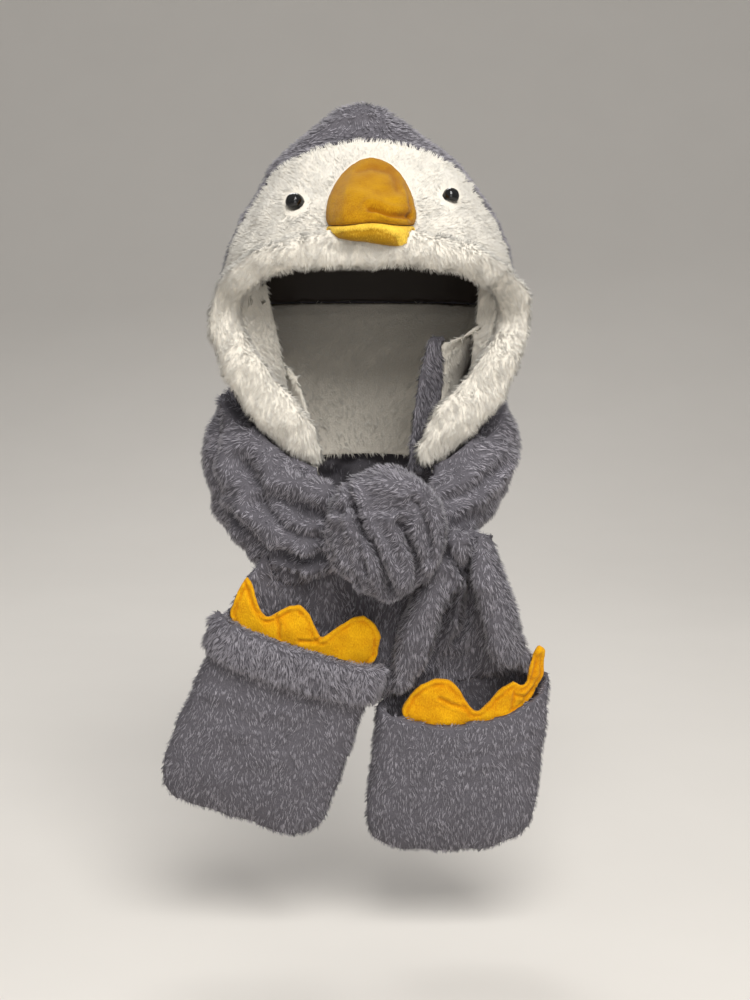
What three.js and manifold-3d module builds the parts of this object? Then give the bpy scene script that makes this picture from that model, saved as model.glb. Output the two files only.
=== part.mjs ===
// Animal hood scarf: a plush hood with a white face, a stuffed beak and button eyes.
// Its arms cross in a knot under the chin and end in two pockets with yellow toes.
// Millimetres. +Z is up, the face looks to -Y, +X is the viewer's right.
// The origin is where the crown sits on the top of a head.

import * as THREE from 'three';
import Module from 'manifold-3d';

const wasm = await Module();
wasm.setup();

// Sizes shared by the pieces
const GAP = 0.4;
const PLUSH = 8;
const LINING = 2.5;

// Hood: a pointed crown over an oval head room
const HOOD_PEAK = 41;
const HOOD_DROP = 336;
const HOOD_HALF = 144;
const HOOD_FRONT = 136;
const HOOD_BACK = 135;
const HOOD_SIDES = 24;
const LINING_SIDES = 20;

// White face panel and the roll round the face opening
const PANEL_MID = -112;
const PANEL_HALF = 136;
const PANEL_RISE = 114;
const RIM_MID = -165;
const RIM_HALF = 154;
const RIM_RISE = 89;
const RIM_FALL = 163;
const RIM_THICK = 26;
const RIM_WIDTH = 35;
const RIM_END = 154;

// Linings
const CROWN_LINING_FOOT = -158;
const NAPE_TOP = -158.9;
const NAPE_DROP = 156;
const NAPE_HALF = 122;
const NAPE_BACK = 112;
const NAPE_MID = 15;
const NAPE_REACH = 75;
const FACING_THICK = 5;
const FOLD_END = 150;

// Beak and eyes
const BEAK_HALF = 42;
const BEAK_TIP = 155;
const BEAK_TOP = -12;
const BEAK_DROP = 62.5;
const LIP_DROP = 15.5;
const LIP_TILT = 0.13;
const BEAK_SHIFT = 3;
const EYE_LEFT = { x: -67, z: -54.5, radius: 9.4 };
const EYE_RIGHT = { x: 76.5, z: -49, radius: 8.5 };

// Collar and knot
const COLLAR_LEFT = 163;
const COLLAR_SWELL = -0.25;
const COLLAR_THICK = 42;
const COLLAR_TOP = -235;
const COLLAR_FOLD = 3.5;
const KNOT = { x: 16, y: -148, z: -350, half: 57, depth: 38, rise: 62 };
const KNOT_LOBES = 8;

// Pockets and the arms that they hang from
const LEFT_POCKET = { x: -62, y: -115, z: -458, roll: 18.2, half: 79, thick: 25, drop: 192, flare: 0.225, lift: 0 };
const RIGHT_POCKET = { x: 92, y: -110, z: -507, roll: 6, half: 83, thick: 25, drop: 170, flare: 0, lift: 0.28 };
const RIGHT_SKEW = 0.29;
const CUFF_DROP = 34;
const CUFF_SAG = 6;
const CUFF_THICK = 11;
const ARM_THICK = 17;
const TOE_THICK = 5.5;

// Hood slices from the peak down: shares of the drop, the half width, the front and the back.
const HOOD = [
  { level: 0.000, half: 0.021, front: -0.066, back: 0.111, corner: 2.0, lean: -6 },
  { level: 0.012, half: 0.153, front: 0.088, back: 0.252, corner: 2.0, lean: -6.5 },
  { level: 0.036, half: 0.236, front: 0.140, back: 0.370, corner: 2.0, lean: -7 },
  { level: 0.083, half: 0.380, front: 0.243, back: 0.533, corner: 2.1, lean: -5 },
  { level: 0.131, half: 0.525, front: 0.353, back: 0.652, corner: 2.2, lean: -2.5 },
  { level: 0.176, half: 0.645, front: 0.463, back: 0.741, corner: 2.2, lean: -1.5 },
  { level: 0.247, half: 0.753, front: 0.632, back: 0.844, corner: 2.3, lean: 0.5 },
  { level: 0.330, half: 0.866, front: 0.801, back: 0.919, corner: 2.5, lean: 0.5 },
  { level: 0.411, half: 0.948, front: 0.941, back: 0.970, corner: 2.7, lean: 0.5 },
  { level: 0.494, half: 0.985, front: 1.000, back: 1.000, corner: 2.9, lean: 0 },
  { level: 0.613, half: 1.000, front: 0.993, back: 1.000, corner: 2.9, lean: 0 },
  { level: 0.732, half: 0.965, front: 0.926, back: 0.956, corner: 2.8, lean: 0 },
  { level: 0.836, half: 0.875, front: 0.846, back: 0.889, corner: 2.6, lean: 0 },
  { level: 0.926, half: 0.792, front: 0.765, back: 0.815, corner: 2.5, lean: 0 },
  { level: 1.000, half: 0.743, front: 0.721, back: 0.770, corner: 2.4, lean: 0 },
];

// Roll round the opening: degrees from the top, and its width as a share of the side width.
const RIM = [
  { turn: 0, width: 1.08 },
  { turn: 55, width: 0.97 },
  { turn: 90, width: 1.0 },
  { turn: 118, width: 1.28 },
  { turn: 138, width: 1.42 },
  { turn: 154, width: 1.05 },
];

// Free edge of each white facing: share of its height, the side reach and how far it is back.
const FACING_LEFT = { top: -112, foot: -246, edge: 78, back: -36, spread: 24 };
const FACING_RIGHT = { top: -112, foot: -232, edge: 97, back: -44, spread: 12 };

// White curtain round the nape: shares of its drop, half width and back, and the front ends.
const NAPE = [
  { level: 0.0, half: 1.0, back: 1.0, left: 98, right: 100 },
  { level: 0.13, half: 0.95, back: 1.0, left: 108, right: 139 },
  { level: 0.4, half: 0.78, back: 0.9, left: 136, right: 131 },
  { level: 0.68, half: 0.69, back: 0.82, left: 140, right: 127 },
  { level: 1.0, half: 0.61, back: 0.74, left: 140, right: 123 },
];

// Upper beak and lower lip: shares of the drop, the half width and the forward reach.
const BEAK = [
  { level: 0.0, half: 0.06, reach: 0.37 },
  { level: 0.04, half: 0.28, reach: 0.44 },
  { level: 0.12, half: 0.47, reach: 0.54 },
  { level: 0.25, half: 0.66, reach: 0.65 },
  { level: 0.42, half: 0.82, reach: 0.78 },
  { level: 0.62, half: 0.95, reach: 0.89 },
  { level: 0.82, half: 1.0, reach: 0.975 },
  { level: 0.95, half: 0.98, reach: 1.0 },
  { level: 1.0, half: 0.94, reach: 0.985 },
];
const LIP = [
  { level: 0.0, half: 0.98, reach: 0.99 },
  { level: 0.45, half: 0.99, reach: 1.0 },
  { level: 0.85, half: 0.94, reach: 0.985 },
  { level: 1.0, half: 0.84, reach: 0.955 },
];

// Collar, turning from the knot past the viewer's right and the nape back to the knot.
// Columns are shares of the left reach, except the heights below the top, in millimetres.
const COLLAR = [
  { turn: 0, x: 0.1, y: -0.82, top: 88, foot: 148, upper: 8, lower: 14, thick: 0.8 },
  { turn: 28, x: 0.47, y: -0.8, top: 76, foot: 138, upper: 10, lower: 16, thick: 0.8 },
  { turn: 58, x: 0.8, y: -0.5, top: 34, foot: 138, upper: 13, lower: 34, thick: 0.95 },
  { turn: 90, x: 0.91, y: -0.04, top: 2, foot: 140, upper: 14, lower: 59, thick: 1.0 },
  { turn: 132, x: 0.7, y: 0.6, top: -2, foot: 146, upper: 18, lower: 38, thick: 1.0 },
  { turn: 180, x: 0.0, y: 0.87, top: -4, foot: 150, upper: 20, lower: 34, thick: 1.0 },
  { turn: 230, x: -0.76, y: 0.6, top: -2, foot: 168, upper: 20, lower: 42, thick: 1.0 },
  { turn: 270, x: -1.0, y: -0.04, top: 1, foot: 186, upper: 17, lower: 70, thick: 1.0 },
  { turn: 300, x: -0.87, y: -0.46, top: 21, foot: 186, upper: 16, lower: 57, thick: 0.95 },
  { turn: 328, x: -0.58, y: -0.74, top: 56, foot: 178, upper: 14, lower: 26, thick: 0.9 },
  { turn: 346, x: -0.22, y: -0.82, top: 80, foot: 164, upper: 10, lower: 18, thick: 0.85 },
  { turn: 360, x: 0.1, y: -0.82, top: 88, foot: 148, upper: 8, lower: 14, thick: 0.8 },
];

// Pocket sections from above the mouth to the foot: shares of drop, half width and thickness.
const POCKET = [
  { level: -0.3, half: 1.0, thick: 0.92 },
  { level: 0.0, half: 1.0, thick: 1.0 },
  { level: 0.3, half: 1.01, thick: 1.08 },
  { level: 0.6, half: 1.01, thick: 1.04 },
  { level: 0.78, half: 0.995, thick: 0.9 },
  { level: 0.88, half: 0.96, thick: 0.72 },
  { level: 0.95, half: 0.88, thick: 0.52 },
  { level: 1.0, half: 0.7, thick: 0.26 },
];

// Front lip of each pocket: share of the half width, height in millimetres from the mouth.
const LEFT_LIP = [
  { at: -1.3, lip: 0 }, { at: -0.8, lip: -3 }, { at: 0, lip: -5 },
  { at: 0.8, lip: -3 }, { at: 1.3, lip: 0 },
];
const RIGHT_LIP = [
  { at: -1.3, lip: -30 }, { at: -1.0, lip: -26 }, { at: -0.7, lip: -31 }, { at: -0.25, lip: -35 },
  { at: 0.15, lip: -28 }, { at: 0.43, lip: -21 }, { at: 0.73, lip: -6 }, { at: 1.0, lip: 20 },
  { at: 1.3, lip: 34 },
];

// Arms above the pockets: height above the mouth, half width, depth, roll of the edges.
const RIGHT_ARM = [
  { up: 152, half: 17, depth: 18, open: 160, across: -14, back: -22, thick: 0.65 },
  { up: 127, half: 22, depth: 21, open: 158, across: -11, back: -18, thick: 0.75 },
  { up: 102, half: 30, depth: 25, open: 156, across: -8, back: -13, thick: 0.9 },
  { up: 78, half: 43, depth: 29, open: 154, across: -9, back: -9, thick: 1.0 },
  { up: 54, half: 50, depth: 30, open: 150, across: -7, back: -6, thick: 1.0 },
  { up: 32, half: 56, depth: 28, open: 144, across: -5, back: -3, thick: 0.9 },
  { up: 14, half: 63, depth: 24, open: 120, across: -4, back: 0, thick: 0.7 },
  { up: 0, half: 71, depth: 21, open: 88, across: -3, back: 0, thick: 0.47 },
];
const LEFT_ARM = [
  { up: 82, half: 72, depth: 12, open: 80, across: 20, back: 12, thick: 0.7 },
  { up: 60, half: 77, depth: 14, open: 80, across: 16, back: 8, thick: 0.8 },
  { up: 34, half: 81, depth: 16, open: 82, across: 12, back: 4, thick: 0.75 },
  { up: 14, half: 83, depth: 18, open: 84, across: 10, back: 1, thick: 0.6 },
  { up: 0, half: 81.5, depth: 21, open: 86, across: 6.5, back: 0, thick: 0.47 },
];

// Toes: where the strip runs across and back, and its upper edge above the mouth.
const LEFT_TOES = [
  { across: -73, back: -6, top: 6 },
  { across: -72, back: -8, top: 27 },
  { across: -67, back: -9, top: 42 },
  { across: -58, back: -10, top: 35 },
  { across: -47, back: -11, top: 17 },
  { across: -38, back: -12, top: 11 },
  { across: -32, back: -12, top: 17 },
  { across: -22, back: -12, top: 29 },
  { across: -11, back: -13, top: 33 },
  { across: 2, back: -13, top: 26 },
  { across: 12, back: -12, top: 12 },
  { across: 17, back: -12, top: 5 },
  { across: 25, back: -12, top: 20 },
  { across: 36, back: -12, top: 36 },
  { across: 48, back: -11, top: 42 },
  { across: 60, back: -10, top: 38 },
  { across: 69, back: -8, top: 26 },
  { across: 74, back: -6, top: 8 },
];
const RIGHT_TOES = [
  { across: -58, back: -9, top: -27 },
  { across: -52, back: -11, top: -10 },
  { across: -43, back: -12, top: 1 },
  { across: -30, back: -13, top: 9 },
  { across: -15, back: -13, top: 9 },
  { across: -2, back: -13, top: -3 },
  { across: 8, back: -13, top: -17 },
  { across: 14, back: -13, top: -20 },
  { across: 24, back: -14, top: -6 },
  { across: 35, back: -14, top: 8 },
  { across: 44, back: -13, top: 15 },
  { across: 51, back: -12, top: 11 },
  { across: 57, back: -11, top: 11 },
  { across: 60, back: -10, top: 42 },
  { across: 65, back: -8, top: 49 },
  { across: 70, back: -5, top: 46 },
  { across: 73, back: -1, top: 24 },
];

// Small vector sums
const add = (a, b) => [a[0] + b[0], a[1] + b[1], a[2] + b[2]];
const take = (a, b) => [a[0] - b[0], a[1] - b[1], a[2] - b[2]];
const times = (a, by) => [a[0] * by, a[1] * by, a[2] * by];
const dot = (a, b) => a[0] * b[0] + a[1] * b[1] + a[2] * b[2];
const cross = (a, b) => [
  a[1] * b[2] - a[2] * b[1],
  a[2] * b[0] - a[0] * b[2],
  a[0] * b[1] - a[1] * b[0],
];
const unit = (a) => times(a, 1 / (Math.sqrt(dot(a, a)) || 1));
const middle = (ring) => times(ring.reduce(add, [0, 0, 0]), 1 / ring.length);
const mix = (a, b, share) => a + (b - a) * share;
const within = (value, low, high) => Math.min(Math.max(value, low), high);
const radians = (degrees) => (degrees * Math.PI) / 180;
const power = (value, by) => Math.sign(value) * Math.abs(value) ** by;
const steps = (count, from, to) => Array.from(
  { length: count },
  (_, i) => mix(from, to, i / (count - 1)),
);

// A column of a table read between its rows on a smooth curve; key may rise or fall.
function read(table, key, name, at) {
  const rows = table[0][key] < table[table.length - 1][key] ? table : [...table].reverse();
  const last = rows.length - 1;
  const place = within(at, rows[0][key], rows[last][key]);
  let i = 0;
  while (i < last - 1 && place > rows[i + 1][key]) i += 1;
  const slope = (k) => {
    const low = rows[Math.max(k - 1, 0)];
    const high = rows[Math.min(k + 1, last)];
    return (high[name] - low[name]) / (high[key] - low[key]);
  };
  const span = rows[i + 1][key] - rows[i][key];
  const t = (place - rows[i][key]) / span;
  const rise = t * t * (3 - 2 * t);
  const start = t * (1 - t) * (1 - t) * span * slope(i);
  const stop = t * t * (t - 1) * span * slope(i + 1);
  return mix(rows[i][name], rows[i + 1][name], rise) + start + stop;
}

// Faces of a skin over a row of closed sections; the ends are closed by strips.
function skin(rings, looped) {
  const count = rings[0].length;
  const faces = [];
  const rows = looped ? rings.length : rings.length - 1;
  for (let i = 0; i < rows; i += 1) {
    const here = i * count;
    const next = ((i + 1) % rings.length) * count;
    for (let j = 0; j < count; j += 1) {
      const k = (j + 1) % count;
      faces.push([here + j, here + k, next + k], [here + j, next + k, next + j]);
    }
  }
  if (!looped) {
    const end = (rings.length - 1) * count;
    for (let j = 0; j < count / 2 - 1; j += 1) {
      const far = count - 1 - j;
      faces.push([j + 1, j, far], [j + 1, far, far - 1]);
      faces.push([end + j, end + j + 1, end + far], [end + j + 1, end + far - 1, end + far]);
    }
  }
  return faces;
}

function volume(points, faces) {
  const six = faces.map(([a, b, c]) => dot(points[a], cross(points[b], points[c])));
  return six.reduce((sum, part) => sum + part, 0) / 6;
}

function solid(points, faces) {
  const outward = volume(points, faces) > 0;
  const turned = outward ? faces : faces.map(([a, b, c]) => [a, c, b]);
  const vertProperties = new Float32Array(points.flat());
  const triVerts = new Uint32Array(turned.flat());
  return new wasm.Manifold(new wasm.Mesh({ numProp: 3, vertProperties, triVerts }));
}

function loft(rings, looped = false) {
  return solid(rings.flat(), skin(rings, looped));
}

// The same sections moved out along their normals, and past both ends.
function grown(rings, by, looped = false) {
  const last = rings.length - 1;
  const side = Math.sign(volume(rings.flat(), skin(rings, looped)));
  return rings.map((ring, i) => {
    const before = rings[looped ? (i + last) % (last + 1) : Math.max(i - 1, 0)];
    const after = rings[looped ? (i + 1) % (last + 1) : Math.min(i + 1, last)];
    const along = unit(take(middle(after), middle(before)));
    let past = 0;
    if (!looped && i === 0) past = -by;
    if (!looped && i === last) past = by;
    return ring.map((point, j) => {
      const next = ring[(j + 1) % ring.length];
      const previous = ring[(j + ring.length - 1) % ring.length];
      const normal = unit(cross(take(next, previous), take(after[j], before[j])));
      return add(add(point, times(normal, by * side)), times(along, past));
    });
  });
}

// Sections of a cloth sheet: rows of points made thick along the sheet's own normals.
function sheet(rows, thickAt) {
  const last = rows.length - 1;
  return rows.map((row, i) => {
    const end = row.length - 1;
    const sides = row.map((point, j) => {
      const down = take(rows[Math.min(i + 1, last)][j], rows[Math.max(i - 1, 0)][j]);
      const across = take(row[Math.min(j + 1, end)], row[Math.max(j - 1, 0)]);
      const half = times(unit(cross(across, down)), thickAt(i / last, j / end) / 2);
      return [add(point, half), take(point, half)];
    });
    return [...sides.map((pair) => pair[0]), ...sides.map((pair) => pair[1]).reverse()];
  });
}

// Keeps the largest closed body of a cut piece, without the crumbs of the cut.
function largest(cut) {
  const mesh = cut.getMesh();
  const tris = mesh.triVerts;
  const root = Array.from({ length: mesh.vertProperties.length / mesh.numProp }, (_, i) => i);
  const find = (i) => {
    let at = i;
    while (root[at] !== at) {
      root[at] = root[root[at]];
      at = root[at];
    }
    return at;
  };
  for (let i = 0; i < tris.length; i += 3) {
    root[find(tris[i + 1])] = find(tris[i]);
    root[find(tris[i + 2])] = find(tris[i]);
  }
  const point = (i) => Array.from(mesh.vertProperties.slice(i * mesh.numProp, i * mesh.numProp + 3));
  const bodies = new Map();
  for (let i = 0; i < tris.length; i += 3) {
    const key = find(tris[i]);
    if (!bodies.has(key)) bodies.set(key, []);
    bodies.get(key).push([tris[i], tris[i + 1], tris[i + 2]]);
  }
  const points = root.map((_, i) => point(i));
  const sized = [...bodies.values()].map((faces) => [volume(points, faces), faces]);
  sized.sort((a, b) => b[0] - a[0]);
  return { points, faces: sized[0][1] };
}

const scarf = new THREE.Group();
scarf.name = 'animal_hood_scarf';

function piece(name, body, colour, roughness) {
  const { points, faces } = largest(body);
  const used = [...new Set(faces.flat())];
  const place = new Map(used.map((old, i) => [old, i]));
  const geometry = new THREE.BufferGeometry();
  const position = new Float32Array(used.flatMap((old) => points[old]));
  geometry.setAttribute('position', new THREE.BufferAttribute(position, 3));
  geometry.setIndex(faces.flat().map((old) => place.get(old)));
  geometry.computeVertexNormals();
  const mesh = new THREE.Mesh(
    geometry,
    new THREE.MeshStandardMaterial({ color: colour, roughness, metalness: 0 }),
  );
  mesh.name = name;
  scarf.add(mesh);
}

const GREY = 0x7b7577;
const WHITE = 0xe8e1d3;
const DARK = 0x35291d;
const AMBER = 0xd8981c;
const BLACK = 0x0b0b0c;

// Points round a rounded section, two by two across it, so that strips can close it.
function rounded(half, depth, corner, count) {
  return Array.from({ length: count }, (_, j) => {
    const turn = (2 * Math.PI * (j + 0.5)) / count;
    const x = half * power(Math.cos(turn), 2 / corner);
    const y = depth * power(Math.sin(turn), 2 / corner);
    return [x, y];
  });
}

// The hood body

function hoodSlice(level) {
  return {
    z: HOOD_PEAK - level * HOOD_DROP,
    half: HOOD_HALF * read(HOOD, 'level', 'half', level),
    front: -HOOD_FRONT * read(HOOD, 'level', 'front', level),
    back: HOOD_BACK * read(HOOD, 'level', 'back', level),
    corner: read(HOOD, 'level', 'corner', level),
    lean: read(HOOD, 'level', 'lean', level),
  };
}

function hoodRing(level, sides) {
  const slice = hoodSlice(level);
  const mid = (slice.front + slice.back) / 2;
  const depth = (slice.back - slice.front) / 2;
  const outline = rounded(slice.half, depth, slice.corner, sides);
  return outline.map(([x, y]) => [x + slice.lean, mid + y, slice.z]);
}

// Where the hood's front skin is, for a place in the front view.
function hoodFront(x, z) {
  const slice = hoodSlice((HOOD_PEAK - z) / HOOD_DROP);
  const mid = (slice.front + slice.back) / 2;
  const depth = (slice.back - slice.front) / 2;
  const reach = Math.min(Math.abs(x - slice.lean) / slice.half, 0.985);
  return mid - depth * (1 - reach ** slice.corner) ** (1 / slice.corner);
}

const hoodRings = HOOD.map((row) => hoodRing(row.level, HOOD_SIDES));
const liningRings = HOOD.filter((row, i) => i !== 1 && i !== 3 && i !== 5 && i !== 13)
  .map((row) => hoodRing(row.level, LINING_SIDES));

// The hood's skin moved out or in, its foot drawn down when it is used as a hollow.
function hoodBody(by, drawn = 0, skinRings = hoodRings) {
  const rings = grown(skinRings, by);
  const foot = rings.length - 1;
  rings[foot] = rings[foot].map((point) => [point[0], point[1], point[2] - drawn]);
  return loft(rings);
}

// The roll round the face opening

function rimOutline(turn) {
  const rise = Math.cos(radians(turn));
  const corner = rise > 0 ? 2.4 : 1.6;
  const height = rise > 0 ? RIM_RISE : RIM_FALL;
  const x = RIM_HALF * power(Math.sin(radians(turn)), 2 / corner) + 2;
  return [x, RIM_MID + height * power(rise, 2 / corner)];
}

function rimPlace(turn) {
  const [x, z] = rimOutline(turn);
  const ahead = rimOutline(turn + 1.5);
  const behind = rimOutline(turn - 1.5);
  const run = Math.hypot(ahead[0] - behind[0], ahead[1] - behind[1]);
  const out = [-(ahead[1] - behind[1]) / run, (ahead[0] - behind[0]) / run];
  const width = RIM_WIDTH * read(RIM, 'turn', 'width', Math.abs(turn));
  const centre = [x - (out[0] * width) / 2, z - (out[1] * width) / 2];
  return { out, width, centre, y: hoodFront(centre[0], centre[1]) };
}

function rimRings() {
  const turns = steps(37, -RIM_END, RIM_END);
  return turns.map((turn, i) => {
    const { out, width, centre, y } = rimPlace(turn);
    const fromEnd = Math.min(i, turns.length - 1 - i);
    const share = [0.55, 0.9][fromEnd] ?? 1;
    const section = rounded((width / 2) * share, (RIM_THICK / 2) * share, 2, 10);
    return section.map(([across, deep]) => [
      centre[0] + out[0] * across,
      y + deep,
      centre[1] + out[1] * across,
    ]);
  });
}

const rim = rimRings();
const fatRim = loft(grown(rim, GAP));

// Cutters along Y: a front-view outline run from in front of the hood to its back limit.
function frontCutter(outline, backAt) {
  const near = outline.map(([x, z]) => [x, -420, z]);
  const far = outline.map(([x, z]) => [x, backAt(x, z), z]);
  return loft([near, far]);
}

function panelCutter(by) {
  const outline = rounded(PANEL_RISE + by, PANEL_HALF + by, 2, 36);
  const placed = outline.map(([rise, x]) => [x, PANEL_MID + rise]);
  const backAt = (x, z) => by - 50 + 40 * within((z - PANEL_MID) / PANEL_RISE, 0, 1);
  return frontCutter(placed, backAt);
}

const openingOutline = steps(26, -RIM_END, RIM_END).map((turn) => rimPlace(turn).centre);
openingOutline.unshift([openingOutline[0][0], HOOD_PEAK - HOOD_DROP - 30]);
openingOutline.push([openingOutline[openingOutline.length - 1][0], HOOD_PEAK - HOOD_DROP - 30]);
const opening = frontCutter(openingOutline, () => -4);

const fatHood = hoodBody(GAP);
const hoodSkin = hoodBody(0).subtract(hoodBody(-PLUSH, 20)).subtract(opening).subtract(fatRim);
piece('hood_shell', hoodSkin.subtract(panelCutter(GAP)), GREY, 0.95);
piece('face_panel', hoodSkin.intersect(panelCutter(0)), WHITE, 0.95);
piece('face_rim', loft(rim), WHITE, 0.95);

// Linings inside the hood

const belowLining = loft([
  rounded(300, 300, 2, 8).map(([x, y]) => [x, y, CROWN_LINING_FOOT]),
  rounded(300, 300, 2, 8).map(([x, y]) => [x, y, -500]),
]);
const liningOut = -PLUSH - 1.5;
const liningSkin = hoodBody(liningOut, 0, liningRings)
  .subtract(hoodBody(liningOut - LINING, 20, liningRings));
const crownLining = liningSkin.subtract(opening).subtract(fatRim).subtract(belowLining);
piece('crown_lining', crownLining, DARK, 0.6);

const headRoom = hoodBody(liningOut - LINING - 1.5, 20);

// The curtain hangs from the foot of the crown lining and narrows to the neck.
function napePoint(level, turn) {
  const sine = Math.sin(radians(turn));
  const cosine = Math.cos(radians(turn));
  const z = NAPE_TOP - level * NAPE_DROP;
  const slice = hoodSlice((HOOD_PEAK - z) / HOOD_DROP);
  const inset = PLUSH + 4.8;
  const mid = (slice.front + slice.back) / 2;
  const depth = (slice.back - slice.front) / 2 - inset;
  const hung = [
    (slice.half - inset) * power(sine, 2 / slice.corner),
    mid + depth * power(cosine, 2 / slice.corner),
  ];
  const reach = cosine > 0 ? NAPE_BACK * read(NAPE, 'level', 'back', level) - NAPE_MID : NAPE_REACH;
  const narrow = [
    NAPE_HALF * read(NAPE, 'level', 'half', level) * sine,
    NAPE_MID + reach * cosine,
  ];
  const share = within(level * 8, 0, 1);
  return [mix(hung[0], narrow[0], share), mix(hung[1], narrow[1], share), z];
}

const napeLevels = [0, 0.07, 0.2, 0.4, 0.68, 1];
const napeRows = napeLevels.map((level) => {
  const left = -read(NAPE, 'level', 'left', level);
  const right = read(NAPE, 'level', 'right', level);
  return steps(14, left, right).map((turn) => napePoint(level, turn));
});
const napeSheet = sheet(napeRows, () => FACING_THICK);
const nape = loft(napeSheet);
const fatNape = loft(grown(napeSheet, GAP)).add(nape);
piece('nape_lining', nape, WHITE, 0.95);

const foldRows = [0.13, 0.2, 0.4, 0.68, 0.98].map((level) => {
  const from = read(NAPE, 'level', 'right', level) + 0.8;
  return steps(4, from, FOLD_END).map((turn) => napePoint(level, turn));
});
piece('inner_fold', loft(sheet(foldRows, () => FACING_THICK * 1.3)), GREY, 0.95);

// White cloth that turns in from the roll to a free edge beside the face
function facing(side, shape) {
  const rows = steps(7, 0, 1).map((share) => {
    const z = mix(shape.top, shape.foot, share);
    const turn = turnAtInnerEdge(z, side);
    const { out, width, centre, y } = rimPlace(turn);
    const inner = [centre[0] - (out[0] * width) / 4, centre[1] - (out[1] * width) / 4];
    const free = [side * (shape.edge + shape.spread * (1 - share) ** 1.5), shape.back, z];
    const start = [inner[0], y, inner[1]];
    return steps(4, 0, 1).map((run) => {
      const straight = add(times(start, 1 - run), times(free, run));
      return add(straight, [side * 5 * Math.sin(Math.PI * run), 0, 0]);
    });
  });
  return loft(sheet(rows, () => FACING_THICK)).subtract(fatRim).intersect(headRoom);
}

function turnAtInnerEdge(z, side) {
  let low = 20;
  let high = 150;
  for (let i = 0; i < 24; i += 1) {
    const turn = (low + high) / 2;
    const { out, width, centre } = rimPlace(side * turn);
    if (centre[1] - (out[1] * width) / 4 > z) low = turn;
    else high = turn;
  }
  return side * low;
}

piece('facing_left', facing(-1, FACING_LEFT), WHITE, 0.95);
piece('facing_right', facing(1, FACING_RIGHT).subtract(fatNape), WHITE, 0.95);

// Beak and eyes

function beakRings(table, top, drop, tilt) {
  return table.map((row) => {
    const half = BEAK_HALF * row.half;
    const z = top - row.level * drop;
    const root = hoodFront(0, z) + 8;
    const reach = Math.max(BEAK_TIP * row.reach + root, 4);
    const outline = rounded(half, reach, 2.3, 22);
    return outline.map(([x, y]) => {
      const deep = root + (y < 0 ? y : y * 0.4);
      return [x + BEAK_SHIFT, deep, z - tilt * x * row.level];
    });
  });
}

const beak = beakRings(BEAK, BEAK_TOP, BEAK_DROP, 0);
const lip = beakRings(LIP, BEAK_TOP - BEAK_DROP - GAP, LIP_DROP, LIP_TILT);
piece('beak_upper', loft(beak).subtract(fatHood).subtract(fatRim), AMBER, 0.85);
piece('beak_lower', loft(lip).subtract(fatHood).subtract(fatRim), AMBER, 0.85);

function eye({ x, z, radius }) {
  const here = hoodFront(x, z);
  const tiltX = (hoodFront(x + 1, z) - hoodFront(x - 1, z)) / 2;
  const tiltZ = (hoodFront(x, z + 1) - hoodFront(x, z - 1)) / 2;
  const out = unit([tiltX, -1, tiltZ]);
  const right = unit(cross(out, [0, 0, 1]));
  const up = cross(right, out);
  const centre = add([x, here, z], times(out, 1));
  const rings = steps(5, 10, 150).map((turn) => {
    const deep = -Math.cos(radians(turn)) * radius;
    const wide = Math.sin(radians(turn)) * radius;
    return rounded(wide, wide, 2, 12).map(([a, b]) => {
      const flat = add(times(right, a), times(up, b));
      return add(add(centre, times(out, deep)), flat);
    });
  });
  return loft(rings).subtract(fatHood);
}

piece('eye_left', eye(EYE_LEFT), BLACK, 0.15);
piece('eye_right', eye(EYE_RIGHT), BLACK, 0.15);

// The knot: gathered folds that run out from one pole, and a band over them

const knotPole = unit([-0.67, -0.49, 0.56]);
const knotSide = unit(cross(knotPole, [0, 0, 1]));
const knotUp = cross(knotSide, knotPole);

function knotRings() {
  return steps(11, 6, 174).map((tilt) => {
    const wide = Math.sin(radians(tilt));
    const fold = 0.09 * wide ** 1.5 * (1 - tilt / 260);
    return Array.from({ length: 32 }, (_, j) => {
      const turn = (2 * Math.PI * (j + 0.5)) / 32;
      const wave = 1 + fold * (Math.cos(KNOT_LOBES * turn + 0.6) - 0.4);
      const flat = add(times(knotSide, Math.cos(turn) * wide), times(knotUp, Math.sin(turn) * wide));
      const ball = times(add(flat, times(knotPole, Math.cos(radians(tilt)))), wave);
      return [
        KNOT.x + ball[0] * KNOT.half,
        KNOT.y + ball[1] * KNOT.depth,
        KNOT.z + ball[2] * KNOT.rise,
      ];
    });
  });
}

function bandRings() {
  return steps(11, 0, 1).map((share) => {
    const turn = radians(mix(140, -48, share));
    const x = KNOT.x + KNOT.half * 0.74 * Math.cos(turn);
    const y = KNOT.y - KNOT.depth * mix(0.3, 0.5, Math.sin(Math.PI * share));
    const z = KNOT.z + KNOT.rise * 0.72 * Math.sin(turn);
    const out = [Math.cos(turn), 0, Math.sin(turn)];
    const swell = 0.45 + 0.55 * Math.sin(Math.PI * share) ** 0.6;
    const section = rounded(17 * swell, 21 * swell, 2.2, 10);
    return section.map(([a, b]) => add([x, y, z], [out[0] * a, b, out[2] * a]));
  });
}

function knotBody(by) {
  return loft(grown(knotRings(), by)).add(loft(grown(bandRings(), by)));
}

const fatKnot = knotBody(GAP);
piece('knot', knotBody(0).subtract(fatRim), GREY, 0.95);

// The collar, one gathered roll round the neck

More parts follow.
